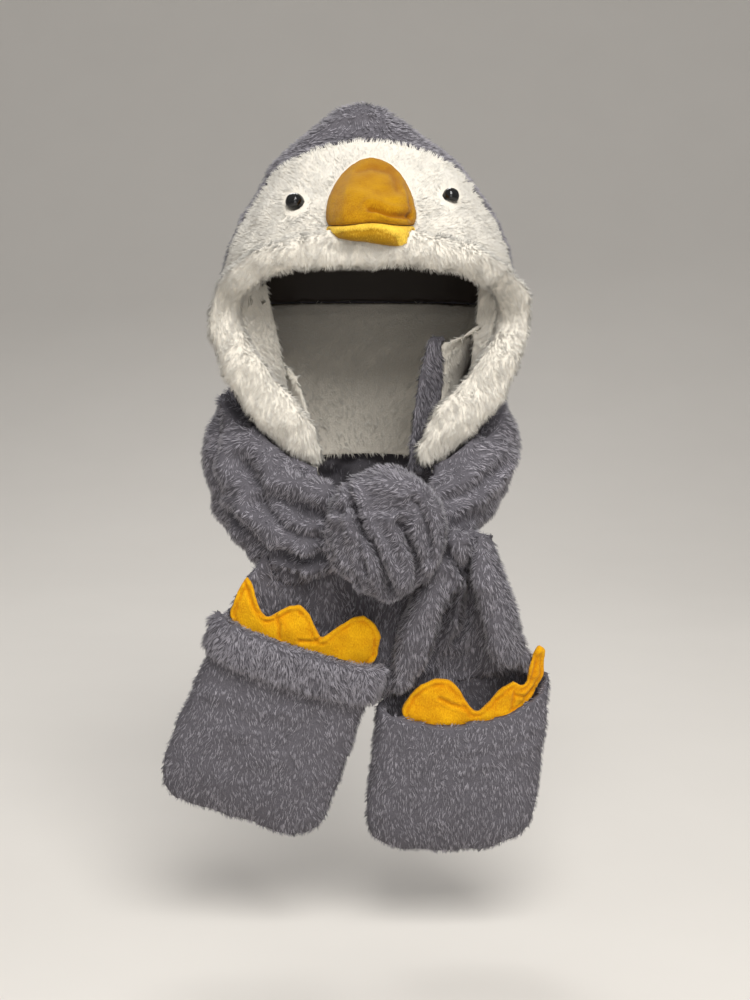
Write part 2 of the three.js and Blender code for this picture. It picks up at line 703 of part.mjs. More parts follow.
function collarRings() {
  return steps(34, 0, 360).slice(0, -1).map((turn) => {
    const at = (name) => read(COLLAR, 'turn', name, turn);
    const mid = [COLLAR_LEFT * at('x'), COLLAR_LEFT * at('y')];
    const reach = Math.hypot(mid[0], mid[1]);
    const out = [mid[0] / reach, mid[1] / reach];
    const thick = COLLAR_THICK * at('thick');
    const place = (level, inset) => {
      const away = level - COLLAR_SWELL;
      const above = away < 0;
      const slope = (above ? at('upper') : at('lower')) / (above ? 1 + COLLAR_SWELL : 1 - COLLAR_SWELL) ** 2;
      const fold = COLLAR_FOLD * Math.cos(level * 8.5 + 0.035 * (turn % 360)) * (1 - level ** 4);
      const bend = reach - slope * away * away - inset + (inset === 0 ? fold : 0);
      const z = COLLAR_TOP - mix(at('top'), at('foot'), (level + 1) / 2);
      return [out[0] * bend, out[1] * bend, z];
    };
    const outer = steps(9, -1, 1).map((level) => place(level, 0));
    const inner = steps(7, 0.9, -0.9).map((level) => place(level, thick * Math.sqrt(1 - level ** 4)));
    return [...outer, ...inner];
  });
}

const collar = collarRings();
const fatCollar = loft(grown(collar, GAP, true), true);
const collarBody = loft(collar, true).subtract(fatHood).subtract(fatRim).subtract(fatKnot);
piece('collar', collarBody, GREY, 0.95);

// Pockets, each in its own tilted frame: across, back and up

function framed(frame, across, back, up) {
  const roll = radians(frame.roll);
  return [
    frame.x + across * Math.cos(roll) + up * Math.sin(roll),
    frame.y + back,
    frame.z - across * Math.sin(roll) + up * Math.cos(roll),
  ];
}

function pocketRings(frame, inset) {
  return POCKET.map((row, i) => {
    const half = frame.half * row.half - inset;
    const thick = Math.max(frame.thick * row.thick - inset, 1.2);
    const foot = i === POCKET.length - 1 ? inset : 0;
    const up = -row.level * frame.drop + foot * 1.2;
    const level = within(row.level, 0, 1);
    return rounded(half, thick, 2.6, 20).map(([a, b]) => {
      const across = a < 0 ? a * (1 + frame.flare * level) : a;
      const raised = a > 0 ? frame.lift * a * level ** 2 : 0;
      return framed(frame, across, b, up + raised);
    });
  });
}

// Cuts the mouth: the back stops at the arm, the front at its lip.
function mouthCutter(frame, from, to, heightAt) {
  const line = steps(11, -1.3, 1.3);
  const outline = [
    ...line.map((at) => [at * frame.half, heightAt(at)]),
    ...line.map((at) => [at * frame.half, frame.drop]).reverse(),
  ];
  const ring = (back) => outline.map(([across, up]) => framed(frame, across, back, up));
  return loft([ring(from), ring(to)]);
}

function pocket(frame, skew, lips, by = 0) {
  const hollow = pocketRings(frame, PLUSH + by);
  hollow[0] = hollow[0].map((point) => add(point, [0, 0, 8]));
  const front = mouthCutter(frame, -90, 0.5, (at) => read(lips, 'at', 'lip', at) + by);
  const back = mouthCutter(frame, 0, 90, (at) => skew * at * frame.half + by);
  return loft(pocketRings(frame, -by)).subtract(loft(hollow)).subtract(front).subtract(back);
}

const fatLeftPocket = pocket(LEFT_POCKET, 0, LEFT_LIP, GAP);
const fatRightPocket = pocket(RIGHT_POCKET, RIGHT_SKEW, RIGHT_LIP, GAP);

// Arms: a sheet curled towards the front, its last row on the pocket's back edge
function armRings(frame, table, skew) {
  const rows = table.map((row) => steps(12, -row.open, row.open).map((turn) => {
    const across = row.across + row.half * Math.sin(radians(turn));
    const back = row.back + row.depth * Math.cos(radians(turn));
    const lift = skew * across * (1 - within(row.up / 60, 0, 1));
    return framed(frame, across, back, row.up + lift + GAP);
  }));
  const thickness = table.map((row) => ARM_THICK * row.thick);
  const thickAt = (i, j) => thickness[Math.round(i * (table.length - 1))]
    * (1 - 0.45 * Math.abs(2 * j - 1) ** 6);
  return sheet(rows, thickAt);
}

const rightArm = armRings(RIGHT_POCKET, RIGHT_ARM, RIGHT_SKEW);
const fatRightArm = loft(grown(rightArm, GAP));
const upperCut = (body) => body.subtract(fatCollar).subtract(fatKnot);
const leftArm = loft(armRings(LEFT_POCKET, LEFT_ARM, 0)).subtract(fatLeftPocket);
piece('tail_right', upperCut(loft(rightArm)).subtract(fatRightPocket), GREY, 0.95);
piece('tail_left', upperCut(leftArm).subtract(fatRightArm), GREY, 0.95);

const leftPocket = pocket(LEFT_POCKET, 0, LEFT_LIP).subtract(fatRightArm);
piece('pocket_left', leftPocket, GREY, 0.95);
piece('pocket_right', pocket(RIGHT_POCKET, RIGHT_SKEW, RIGHT_LIP), GREY, 0.95);

// The turned-down cuff in front of the left pocket's mouth
function cuff(frame) {
  const rows = steps(6, 4, -CUFF_DROP).map((up) => steps(15, -86, 86).map((turn) => {
    const out = CUFF_THICK / 2 + GAP + 1;
    const x = (frame.half * 1.005 + out - 4 * within(up / 8 + 0.5, 0, 1)) * power(Math.sin(radians(turn)), 2 / 2.6);
    const y = -(frame.thick * 1.02 + out) * power(Math.cos(radians(turn)), 2 / 2.6);
    const sag = CUFF_SAG * Math.cos(radians(turn)) * (1 + 0.6 * within(-up / CUFF_DROP, 0, 1));
    return framed(frame, x, y, up - sag);
  }));
  const thickAt = (i) => CUFF_THICK * (1 - 0.6 * Math.abs(2 * i - 1) ** 3);
  return loft(sheet(rows, thickAt));
}

piece('cuff_left', cuff(LEFT_POCKET).subtract(fatLeftPocket).subtract(fatRightArm), GREY, 0.95);

// Yellow toes: a scalloped strip with its root inside the mouth
function toes(frame, table, rootAt) {
  const rows = table.map((row) => {
    const root = rootAt(row.across / frame.half);
    return steps(4, 0, 1).map((share) => {
      const up = mix(root, row.top, share);
      const lean = -0.08 * Math.max(up - root - 8, 0);
      return framed(frame, row.across * mix(0.9, 1, share), row.back + lean, up);
    });
  });
  const thickAt = (i, j) => TOE_THICK * (0.75 + 0.35 * Math.sin(Math.PI * j ** 2));
  return loft(sheet(rows, thickAt));
}

const leftToes = toes(LEFT_POCKET, LEFT_TOES, () => -14);
const lowerLip = (at) => read(RIGHT_LIP, 'at', 'lip', at) - 9;
const rightToes = toes(RIGHT_POCKET, RIGHT_TOES, lowerLip);
piece('toes_left', leftToes.subtract(fatLeftPocket), AMBER, 0.85);
piece('toes_right', rightToes.subtract(fatRightPocket).subtract(fatRightArm), AMBER, 0.85);

export default scarf;
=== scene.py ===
# %% [markdown]
# # A plush animal hood with scarf arms
# The hood is sewn from long-pile plush: grey outside, creamy white round the face.
# It has a stuffed amber beak, two button eyes, a gathered collar that ends in a knot,
# and two arms whose ends are pockets with scalloped amber toes.
# This lesson dresses the plain solids of the part: each gets a soft body, and the plush
# ones grow a pile of small pointed locks.

# %% Open the frame
import math

import bpy
import numpy as np
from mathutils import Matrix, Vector, kdtree
from mathutils.bvhtree import BVHTree


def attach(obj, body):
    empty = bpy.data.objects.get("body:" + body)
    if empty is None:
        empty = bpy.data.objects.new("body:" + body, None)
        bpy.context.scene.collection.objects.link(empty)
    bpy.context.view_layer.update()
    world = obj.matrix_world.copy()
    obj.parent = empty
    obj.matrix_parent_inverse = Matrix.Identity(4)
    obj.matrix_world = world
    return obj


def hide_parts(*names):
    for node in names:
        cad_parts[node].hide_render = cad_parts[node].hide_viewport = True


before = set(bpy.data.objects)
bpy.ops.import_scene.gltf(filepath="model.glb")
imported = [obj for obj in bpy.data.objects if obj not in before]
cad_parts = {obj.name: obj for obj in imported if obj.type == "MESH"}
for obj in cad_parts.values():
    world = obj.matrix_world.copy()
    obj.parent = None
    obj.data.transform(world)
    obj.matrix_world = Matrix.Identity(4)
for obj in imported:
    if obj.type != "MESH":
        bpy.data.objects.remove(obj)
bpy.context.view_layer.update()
MM = 0.001
PER_METRE = 1000

# %% [markdown]
# ## Shader maths
# A finish is easier to read as sums and products than as a list of links. This small class
# wraps a socket, so that `1 - mask` adds a Math node by itself.

# %% Sockets as numbers


class Value:
    def __init__(self, tree, socket):
        self.tree = tree
        self.socket = socket

    def _math(self, operation, first, second):
        node = self.tree.nodes.new("ShaderNodeMath")
        node.operation = operation
        for place, term in zip(node.inputs, (first, second)):
            if isinstance(term, Value):
                self.tree.links.new(term.socket, place)
            else:
                place.default_value = term
        return Value(self.tree, node.outputs[0])

    def __add__(self, other):
        return self._math("ADD", self, other)

    def __radd__(self, other):
        return self._math("ADD", other, self)

    def __sub__(self, other):
        return self._math("SUBTRACT", self, other)

    def __rsub__(self, other):
        return self._math("SUBTRACT", other, self)

    def __mul__(self, other):
        return self._math("MULTIPLY", self, other)

    def __rmul__(self, other):
        return self._math("MULTIPLY", other, self)


class Finish:
    """One material, built from a few plain words."""

    def __init__(self, name, **sockets):
        self.material = bpy.data.materials.new(name)
        self.material.use_nodes = True
        self.tree = self.material.node_tree
        self.shader = self.tree.nodes["Principled BSDF"]
        for key, value in sockets.items():
            self.shader.inputs[key.replace("_", " ")].default_value = value

    def node(self, kind, settings=None, **sockets):
        made = self.tree.nodes.new("ShaderNode" + kind)
        for key, value in (settings or {}).items():
            setattr(made, key, value)
        for key, value in sockets.items():
            place = made.inputs[key.replace("_", " ")]
            if isinstance(value, Value):
                self.tree.links.new(value.socket, place)
            else:
                place.default_value = value
        return made

    def out(self, made, name):
        return Value(self.tree, made.outputs[name])

    def place(self):
        return self.out(self.node("TexCoord"), "Object")

    def noise(self, scale, detail=3.0, vector=None):
        made = self.node("TexNoise", Vector=vector or self.place(), Scale=scale, Detail=detail)
        return self.out(made, "Fac")

    def attribute(self, name):
        return self.out(self.node("Attribute", {"attribute_name": name}), "Fac")

    def clamp(self, value):
        return self.out(self.node("Clamp", None, Value=value), "Result")

    def mix(self, share, first, second):
        made = self.tree.nodes.new("ShaderNodeMix")
        made.data_type = "RGBA"
        for index, term in ((0, share), (6, first), (7, second)):
            if isinstance(term, Value):
                self.tree.links.new(term.socket, made.inputs[index])
            else:
                made.inputs[index].default_value = term
        return Value(self.tree, made.outputs[2])

    def bump(self, height, strength, distance):
        made = self.node("Bump", None, Height=height, Strength=strength, Distance=distance)
        return self.out(made, "Normal")

    def feed(self, name, value):
        self.tree.links.new(value.socket, self.shader.inputs[name])
        return self


def shade(red, green, blue):
    """A colour named by its sRGB numbers, as the shader wants it."""
    parts = [c / 255 for c in (red, green, blue)]
    return [c / 12.92 if c <= 0.04045 else ((c + 0.055) / 1.055) ** 2.4 for c in parts] + [1.0]


# %% [markdown]
# ## The plush
# Each lock is painted dark at its root and light at its tip: painted shade deep in the pile,
# and painted light where the tips catch it. Each lock carries two numbers: one runs from 0 at
# its root to 1 at its tip and sets this painted shading, and `lock` is a value of its own, so
# that no two neighbours are quite alike.

# %% Plush finishes


def plush(name, root, tip, spread, patch):
    finish = Finish(name, Roughness=0.92, Sheen_Weight=0.12, Sheen_Roughness=0.6)
    finish.shader.inputs["Specular IOR Level"].default_value = 0.1
    # Painted shade at the roots and painted light at the tips; `lock` and the cloud are random tone of the
    # plush itself.
    painted_shading = finish.attribute("painted_shading")
    lock = finish.attribute("lock")
    cloud = finish.noise(34.0, 3.0)
    lift = (lock - 0.5) * spread + (cloud - 0.5) * patch
    share = finish.clamp(painted_shading * (0.8 + lift) + lift * 0.55 + 0.12)
    return finish.feed("Base Color", finish.mix(share, root, tip)).material


# The root colours are painted shade and the tip colours painted light, of grey and of white plush.
grey_pile = plush("grey_pile", shade(82, 80, 86), shade(184, 180, 188), 0.85, 0.35)
white_pile = plush("white_pile", shade(220, 214, 201), shade(239, 235, 226), 0.4, 0.2)


def backing(name, dark, light):
    finish = Finish(name, Roughness=0.95)
    finish.shader.inputs["Specular IOR Level"].default_value = 0.08
    fine = finish.noise(900.0, 2.0)
    finish.feed("Base Color", finish.mix(fine, dark, light))
    return finish.feed("Normal", finish.bump(fine, 0.5, 0.001)).material


# Both backings are about as dark as the roots of the locks: painted shade deep under the pile. Their fine
# noise is the grain of the cloth.
grey_backing = backing("grey_backing", shade(70, 68, 73), shade(116, 113, 119))
white_backing = backing("white_backing", shade(214, 207, 193), shade(238, 232, 221))

# %% [markdown]
# ## Fleece, lining and buttons
# The amber pieces are a short fleece, with fibres that show as a fine soft grain.
# The crown is lined with a smooth dark cloth, and the eyes are glossy domes.

# %% Other finishes


def fleece(name, deep, bright, lift=0.0):
    finish = Finish(name, Roughness=0.9, Sheen_Weight=0.08, Sheen_Roughness=0.5)
    finish.shader.inputs["Specular IOR Level"].default_value = 0.1
    place = finish.place()
    mapping = finish.node("Mapping", None, Vector=place, Scale=(1.0, 1.0, 0.45))
    fibres = finish.noise(1100.0, 3.0, finish.out(mapping, "Vector"))
    cloud = finish.noise(60.0, 3.0)
    # Painted shade darkens the fleece in its folds, along seams and on shaded undersides; where it falls
    # below 0, on ridges, it is painted light.
    painted_shade = finish.attribute("painted_shading")
    share = finish.clamp(fibres * 1.5 - 0.3 + lift + (cloud - 0.5) * 0.9 - painted_shade)
    finish.feed("Base Color", finish.mix(share, deep, bright))
    return finish.feed("Normal", finish.bump(fibres * 0.8 + cloud * 0.2, 0.7, 0.0014)).material


beak_fleece = fleece("beak_fleece", shade(152, 97, 3), shade(198, 149, 20))
# The lip keeps near its bright colour, and its deep colour shows only under painted shade.
lip_fleece = fleece("lip_fleece", shade(158, 116, 18), shade(250, 208, 76), 0.35)
toe_fleece = fleece("toe_fleece", shade(210, 136, 4), shade(250, 194, 24))

lining = Finish("dark_lining_cloth", Roughness=0.62, Sheen_Weight=0.15)
weave = lining.noise(1600.0, 2.0)
lining.feed("Base Color", lining.mix(weave, shade(34, 26, 20), shade(56, 45, 36)))
lining_cloth = lining.feed("Normal", lining.bump(weave, 0.3, 0.0006)).material

button = Finish("black_gloss", Roughness=0.1, Coat_Weight=0.3, Coat_Roughness=0.03)
scuff = button.noise(500.0, 4.0)
button_gloss = button.feed("Base Color", button.mix(scuff, shade(5, 5, 6), shade(14, 14, 15))).material

# %% [markdown]
# ## Soft bodies
# Each plush piece starts from its solid. A copy is merged, rebuilt as an even skin of small
# squares and smoothed, as cloth over wadding is. Where a pile will grow the skin is sunk,
# so that the tips of the pile reach the size that the solid has.

# %% Helpers for soft bodies

WELD = 0.00002
SMOOTHING = 0.6


def active(body):
    bpy.ops.object.select_all(action="DESELECT")
    body.select_set(True)
    bpy.context.view_layer.objects.active = body


def apply_all(body):
    active(body)
    for modifier in list(body.modifiers):
        bpy.ops.object.modifier_apply(modifier=modifier.name)


def points_of(body):
    flat = np.empty(len(body.data.vertices) * 3, np.float32)
    body.data.vertices.foreach_get("co", flat)
    return flat.reshape(-1, 3).astype(float) * PER_METRE


def normals_of(body):
    flat = np.empty(len(body.data.vertices) * 3, np.float32)
    body.data.vertices.foreach_get("normal", flat)
    return flat.reshape(-1, 3).astype(float)


def unit(rows):
    return rows / np.maximum(np.linalg.norm(rows, axis=1, keepdims=True), 1e-9)


def corners_of(body):
    body.data.calc_loop_triangles()
    flat = np.empty(len(body.data.loop_triangles) * 3, np.int32)
    body.data.loop_triangles.foreach_get("vertices", flat)
    return flat.reshape(-1, 3)


def move(body, points):
    body.data.vertices.foreach_set("co", (points * MM).astype(np.float32).ravel())
    body.data.update()


def copy_of(name, node):
    body = bpy.data.objects.new(name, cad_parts[node].data.copy())
    bpy.context.scene.collection.objects.link(body)
    body.data.materials.clear()
    active(body)
    bpy.ops.object.mode_set(mode="EDIT")
    bpy.ops.mesh.select_all(action="SELECT")
    bpy.ops.mesh.remove_doubles(threshold=WELD)
    bpy.ops.object.mode_set(mode="OBJECT")
    return body


def soften(body, voxel, rounds):
    remesh = body.modifiers.new("skin", "REMESH")
    remesh.mode = "VOXEL"
    remesh.voxel_size = voxel * MM
    smooth = body.modifiers.new("smooth", "SMOOTH")
    smooth.factor = SMOOTHING
    smooth.iterations = rounds
    apply_all(body)
    active(body)
    bpy.ops.object.shade_smooth()


# %% [markdown]
# Pieces that touch on the real hood have to look sewn together, and thin ones must not be
# pressed through. So a skin asks how near its neighbours are and how thick it is itself: it
# moves where it stands free, and closes up to a small gap where a neighbour is close.
# Lengths are in millimetres.

# %% Neighbours and wall depth

GAP = 0.4
SIGHT = 9.0
DEEPEST = 60.0
STEP_IN = 0.2
DEEPEST_PRESS = 0.34


def walls_of(names):
    """Some solids as one tree, that tells how near they are."""
    verts, faces = [], []
    for name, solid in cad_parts.items():
        if name in names:
            start = len(verts)
            verts += [v.co * PER_METRE for v in solid.data.vertices]
            faces += [[start + i for i in face.vertices] for face in solid.data.polygons]
    return BVHTree.FromPolygons(verts, faces)


def walls_beside(node):
    return walls_of(set(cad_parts) - {node})


def wall_depth(points, normals, corners):
    """How thick the piece is behind each point, up to a limit."""
    own = BVHTree.FromPolygons([Vector(p) for p in points], corners.tolist())
    hits = [own.ray_cast(Vector(p - n * STEP_IN), Vector(-n), DEEPEST)[3] for p, n in zip(points, normals)]
    return np.array([DEEPEST if hit is None else hit + STEP_IN for hit in hits])


def nearest(points, tree, sight):
    """The nearest point of a tree, the way to it and how far it is, up to `sight`."""
    found = [tree.find_nearest(Vector(p), sight) for p in points]
    spot = np.array([p if f[0] is None else f[0] for p, f in zip(points, found)])
    return unit(spot - points), np.array([sight if f[0] is None else f[3] for f in found])


def dress(body, press, tree, reach=5.5):
    """Moves the skin by `press` where it stands free, and closes it up to its neighbours."""
    points, normals = points_of(body), normals_of(body)
    way, away = nearest(points, tree, SIGHT)
    faced = np.clip(np.sum(way * normals, axis=1) * 2.5 - 0.75, 0, 1)
    shut = faced * np.clip((reach - away) / 2.0, 0, 1)
    share = np.clip((away - 1.2) / 6.0, 0, 1) * (1 - shut)
    press = np.maximum(press, -DEEPEST_PRESS * wall_depth(points, normals, corners_of(body)))
    closed = way * ((away - GAP) * shut)[:, None]
    move(body, points + normals * (press * share)[:, None] + closed)


# %% [markdown]
# A finished body gets its material and takes the place of its solid, which is hidden from view.

# %% Finish a body


def finish_body(body, node, material, painted_shade=None):
    body.data.materials.clear()
    body.data.materials.append(material)
    # Painted shade, where a piece has it, is kept on its points for the finish to read.
    if painted_shade is not None:
        painted_shading = body.data.attributes.new("painted_shading", "FLOAT", "POINT")
        painted_shading.data.foreach_set("value", painted_shade.astype(np.float32))
    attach(body, "root")
    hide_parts(node)
    print(body.name, "faces:", len(body.data.polygons))


# %% [markdown]
# ## Folds
# A fold is a valley that follows a line across the front of a piece, with a low ridge on
# each side where the cloth rolls over. Lines are given as X and Z in millimetres.

# %% Folds and slow waves


def waves(points, length, seed, count=7):
    """A slow random field from -1 to 1, the same on every run."""
    rng = np.random.default_rng(seed)
    total = np.zeros(len(points))
    for _ in range(count):
        way = rng.normal(size=3)
        way /= np.linalg.norm(way)
        total += np.sin(points @ way * 2 * math.pi / (length * rng.uniform(0.6, 1.6)) + rng.uniform(0, 6.3))
    return total / math.sqrt(count * 0.5) / 2


def off_line(points, line):
    """Distance in the X-Z plane from each point to a broken line."""
    flat = points[:, [0, 2]]
    best = np.full(len(points), 1e9)
    for start, end in zip(line[:-1], line[1:]):
        start, end = np.array(start, float), np.array(end, float)
        way = end - start
        share = np.clip(((flat - start) @ way) / (way @ way), 0, 1)
        best = np.minimum(best, np.linalg.norm(flat - (start + share[:, None] * way), axis=1))
    return best


def in_front(normals):
    """1 on what looks to the front, fading to 0 at the sides."""
    return np.clip(-normals[:, 1] * 1.6 + 0.2, 0, 1)


def hump(distance, width):
    """1 at no distance, falling smoothly to 0 on both sides."""
    return np.exp(-((distance / width) ** 2))


def fold(points, normals, line, depth, width, ridge=0.45):
    """A valley along a line, with a low ridge on each side."""
    away = off_line(points, line)
    valley = -depth * hump(away, width)
    rolled = ridge * depth * hump(away - 2.2 * width, 1.1 * width)
    return (valley + rolled) * in_front(normals)


def swell(points, normals, line, height, width):
    """A roll of cloth that stands out along a line."""
    return height * hump(off_line(points, line), width) * in_front(normals)


# %% [markdown]
# ## A pile of locks
# Hair could be a particle system, but the part has to leave Blender as plain meshes.
# So a lock is the smallest closed shape there is: three points at the root and one at the
# tip. Locks lean with the nap, wander a little, and their tips draw together in clumps,
# which is what gives plush its small streaks. All locks of a piece are one mesh.

# %% Roots, nap and clumps

ROOT_DEPTH = 1.4
STEEPEST = 70


def roots_on(body, count, rng):
    """Even random places on a skin, the way out from each, and the skin's area."""
    points, normals, corners = points_of(body), normals_of(body), corners_of(body)
    a, b, c = (points[corners[:, k]] for k in range(3))
    area = 0.5 * np.linalg.norm(np.cross(b - a, c - a), axis=1)
    pick = np.searchsorted(np.cumsum(area) / area.sum(), rng.random(count))
    pick = np.minimum(pick, len(area) - 1)
    u, v = np.sqrt(rng.random(count)), rng.random(count)
    parts = np.stack([1 - u, u * (1 - v), u * v], 1)
    spot = sum(parts[:, [k]] * points[corners[pick, k]] for k in range(3))
    out = unit(sum(parts[:, [k]] * normals[corners[pick, k]] for k in range(3)))
    return spot, out, area.sum()


def comb(spot, out, nap, length, lean, wander, seed, rng):
    """Where each tip is, with the locks laid along the nap and wandering a little."""
    side = np.stack([waves(spot, 26, seed + k) for k in range(3)], 1)
    side += 0.6 * np.stack([waves(spot, 9, seed + 10 + k) for k in range(3)], 1)
    way = nap(spot, out) + wander * side + 0.18 * rng.normal(size=spot.shape)
    way = unit(way - out * np.sum(way * out, axis=1, keepdims=True))
    slant = lean + rng.normal(0, 6, len(spot)) + 6 * waves(spot, 14, seed + 20)
    slant = np.radians(np.minimum(slant, STEEPEST))[:, None]
    long = (length * rng.uniform(0.75, 1.15, len(spot)))[:, None]
    return spot + (way * np.sin(slant) + out * np.cos(slant)) * long


def draw_together(spot, tip, area, clump, gather, rng):
    """The tips again, each pulled towards its clump, the clump of each, and their number."""
    count = len(spot)
    middles = rng.choice(count, min(int(area / clump**2), count // 3), replace=False)
    clumps = kdtree.KDTree(len(middles))
    for index, middle in enumerate(middles):
        clumps.insert(spot[middle], index)
    clumps.balance()
    near = np.array([clumps.find(p)[1] for p in spot])
    own = middles[near]
    pull = gather * rng.uniform(0.4, 1.2, count)[:, None]
    shift = tip[own] - spot[own]
    return tip + pull * (spot[own] + shift * 1.04 - tip), near, len(middles)


# %% [markdown]
# Thousands of locks would be slow to add one by one, so their corners and faces are worked
# out as arrays and handed to one mesh. The first lock shows whether the faces point inwards,
# and then all of them are turned round.

# %% Locks as one mesh

LOCK_SIDES = np.array([[0, 1, 3], [1, 2, 3], [2, 0, 3], [0, 2, 1]])
LOCK_PATCHES = np.array([
    [[0.06, 0.1], [0.3, 0.1], [0.18, 0.92]],
    [[0.36, 0.1], [0.6, 0.1], [0.48, 0.92]],
    [[0.66, 0.1], [0.9, 0.1], [0.78, 0.92]],
    [[0.2, 0.02], [0.5, 0.02], [0.35, 0.08]],
])


def lock_mesh(name, ring, tip, along):
    """One closed shape for each lock: three sides and a base, each with its own place on the UV sheet."""
    count = len(tip)
    verts = np.stack([*ring, tip], 1).reshape(-1, 3) * MM
    base = np.arange(count)[:, None] * 4
    faces = (base[:, :, None] + LOCK_SIDES[None]).reshape(-1, 3)
    cells = math.ceil(math.sqrt(count))
    cell = np.stack([np.arange(count) % cells, np.arange(count) // cells], 1) / cells
    patches = LOCK_PATCHES / cells
    if np.cross(ring[1][0] - ring[0][0], ring[2][0] - ring[0][0]) @ along[0] < 0:
        faces = faces[:, ::-1]
        patches = patches[:, ::-1]
    mesh = bpy.data.meshes.new(name)
    mesh.vertices.add(len(verts))
    mesh.vertices.foreach_set("co", verts.astype(np.float32).ravel())
    mesh.loops.add(len(faces) * 3)
    mesh.loops.foreach_set("vertex_index", faces.astype(np.int32).ravel())
    mesh.polygons.add(len(faces))
    mesh.polygons.foreach_set("loop_start", np.arange(len(faces), dtype=np.int32) * 3)
    mesh.update(calc_edges=True)
    places = (cell[:, None, None] + patches[None]).reshape(-1, 2)
    layer = mesh.uv_layers.new(name="OFBake")
    layer.data.foreach_set("uv", places.astype(np.float32).ravel())
    return mesh


# %% [markdown]
# A pile starts with more roots than it needs. Those that are not wanted, or that would poke
# into a neighbour, are dropped. Each lock is shaded partly like the skin below it, which
# makes the pile look soft rather than spiky.

# %% Grow a pile

SPARE_ROOTS = 3.0
HEADROOM = 4.5


def pile(body, name, tree, material, locks, nap, length, width, lean, keep=None,
         clump=3.8, gather=0.5, wander=0.5, relief=0.4, seed=1):
    """Locks on a skin, save where `keep` is 0 or a neighbour in `tree` stands in the way."""
    rng = np.random.default_rng(seed)
    spot, out, area = roots_on(body, int(locks * SPARE_ROOTS), rng)
    if keep is not None:
        stays = rng.random(len(spot)) < keep(spot, out)
        spot, out = spot[stays], out[stays]
    bare = [tree.ray_cast(Vector(a + b), Vector(b), HEADROOM)[0] is None for a, b in zip(spot, out)]
    spot, out = spot[bare][:locks], out[bare][:locks]
    count = len(spot)
    tip = comb(spot, out, nap, length, lean, wander, seed, rng)
    tip, near, clumps = draw_together(spot, tip, area, clump, gather, rng)
    along = unit(tip - spot)
    across = unit(np.cross(along, out))
    up = np.cross(across, along)
    turn = rng.uniform(0, 2 * math.pi, count)[:, None]
    root = spot - out * ROOT_DEPTH
    ring = [
        root + width * (0.5 * np.cos(turn + k) * across + 0.5 * np.sin(turn + k) * up)
        for k in (0, 2 * math.pi / 3, 4 * math.pi / 3)
    ]
    mesh = lock_mesh(name, ring, tip, along)
    # Painted shading on each lock: 0 at its three root points, painted shade, and 1 at its tip, painted
    # light.
    painted_shading = np.tile(np.array([0.0, 0.0, 0.0, 1.0]), count)
    own_value = np.repeat(0.55 * rng.random(count) + 0.45 * rng.random(clumps)[near], 4)
    for key, values in (("painted_shading", painted_shading), ("lock", own_value)):
        mesh.attributes.new(key, "FLOAT", "POINT").data.foreach_set("value", values.astype(np.float32))
    fur = bpy.data.objects.new(name, mesh)
    bpy.context.scene.collection.objects.link(fur)
    mesh.materials.append(material)
    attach(fur, "root")
    mesh.shade_smooth()
    rise = np.stack([*(r - (spot + (tip - spot) * 0.1) for r in ring), along], 1)
    rise = unit(rise.reshape(-1, 3))
    bent = unit(0.75 * np.repeat(out, 4, axis=0) + relief * rise)
    mesh.normals_split_custom_set_from_vertices(bent.tolist())
    print(name, "locks:", count, "of area cm2:", round(area / 100))


# %% A steady nap


def steady(x, y, z):
    """A nap that points one way all over a piece."""
    way = np.array([x, y, z], float)
    return lambda spot, out: np.tile(way, (len(spot), 1))


SHARE_GROWN = 1.0


def locks(count):
    return int(count * SHARE_GROWN)


# %% [markdown]
# ## The hood
# The crown has a crease above the white panel and a short seam at its middle. They show as
# lines in the plush, so they are pressed into the skin before the pile grows.

# %% Hood shell

SINK = 2.4
LONG = 7.2
WIDE = 1.15
LEAN = 63
HOOD_MIDDLE = np.array([0, 10, -150])
CROWN_WHORL = np.array([0, 30, 60])
CROWN_CREASE = [(-112, -60), (-96, -34), (-61, -7), (-26, 13), (4, 18)]
CROWN_SEAM = [(8, 36), (9, -2)]


def outward(spot, out):
    """1 on the outside of the hood and 0 on its inner wall."""
    away = unit(spot - HOOD_MIDDLE)
    return np.where(np.sum(away * out, axis=1) > 0.05, 1.0, 0.0)


hood = copy_of("hood_body", "hood_shell")
soften(hood, 4.6, 4)
beside = walls_beside("hood_shell")
p, n = points_of(hood), normals_of(hood)
outer = outward(p, n)
press = -SINK * outer + fold(p, n, CROWN_CREASE, 7.5, 5.0) + fold(p, n, CROWN_SEAM, 4.5, 3.6)
press += 1.4 * waves(p, 60, 3) * outer
dress(hood, press, beside)
finish_body(hood, "hood_shell", grey_backing)


def hood_nap(spot, out):
    """Down from the whorl at the crown."""
    away = spot - CROWN_WHORL
    away[:, 2] = -np.abs(away[:, 2]) * 0.8 - 30
    return unit(away)


pile(hood, "hood_pile", beside, grey_pile, locks(33000), hood_nap, LONG, WIDE, LEAN,
     keep=outward, wander=0.4, seed=11)

# %% [markdown]
# ## The white face
# The panel is cut from the white plush, and its pile points away from the beak, so that it
# laps over the grey along the edge. The roll below it is fuller and curls round the opening.

# %% Face panel

PANEL_MIDDLE = np.array([0, 10, -110])
BEAK_MIDDLE = np.array([4, -120, -84])
EYES = [(np.array([-67, -54.5]), 9.4), (np.array([76.5, -49]), 8.5)]
EYE_CLEARANCE = 0.6


def face_nap(spot, out):
    """Away from the beak, and round the eyes rather than over them."""
    away = spot - BEAK_MIDDLE
    away[:, 2] -= 14
    away = unit(away)
    for middle, radius in EYES:
        beyond = spot[:, [0, 2]] - middle
        reach = np.linalg.norm(beyond, axis=1)
        near = np.clip((2.2 * radius - reach) / radius, 0, 1)[:, None]
        away[:, [0, 2]] = away[:, [0, 2]] * (1 - near) + near * beyond / reach[:, None]
    return unit(away)


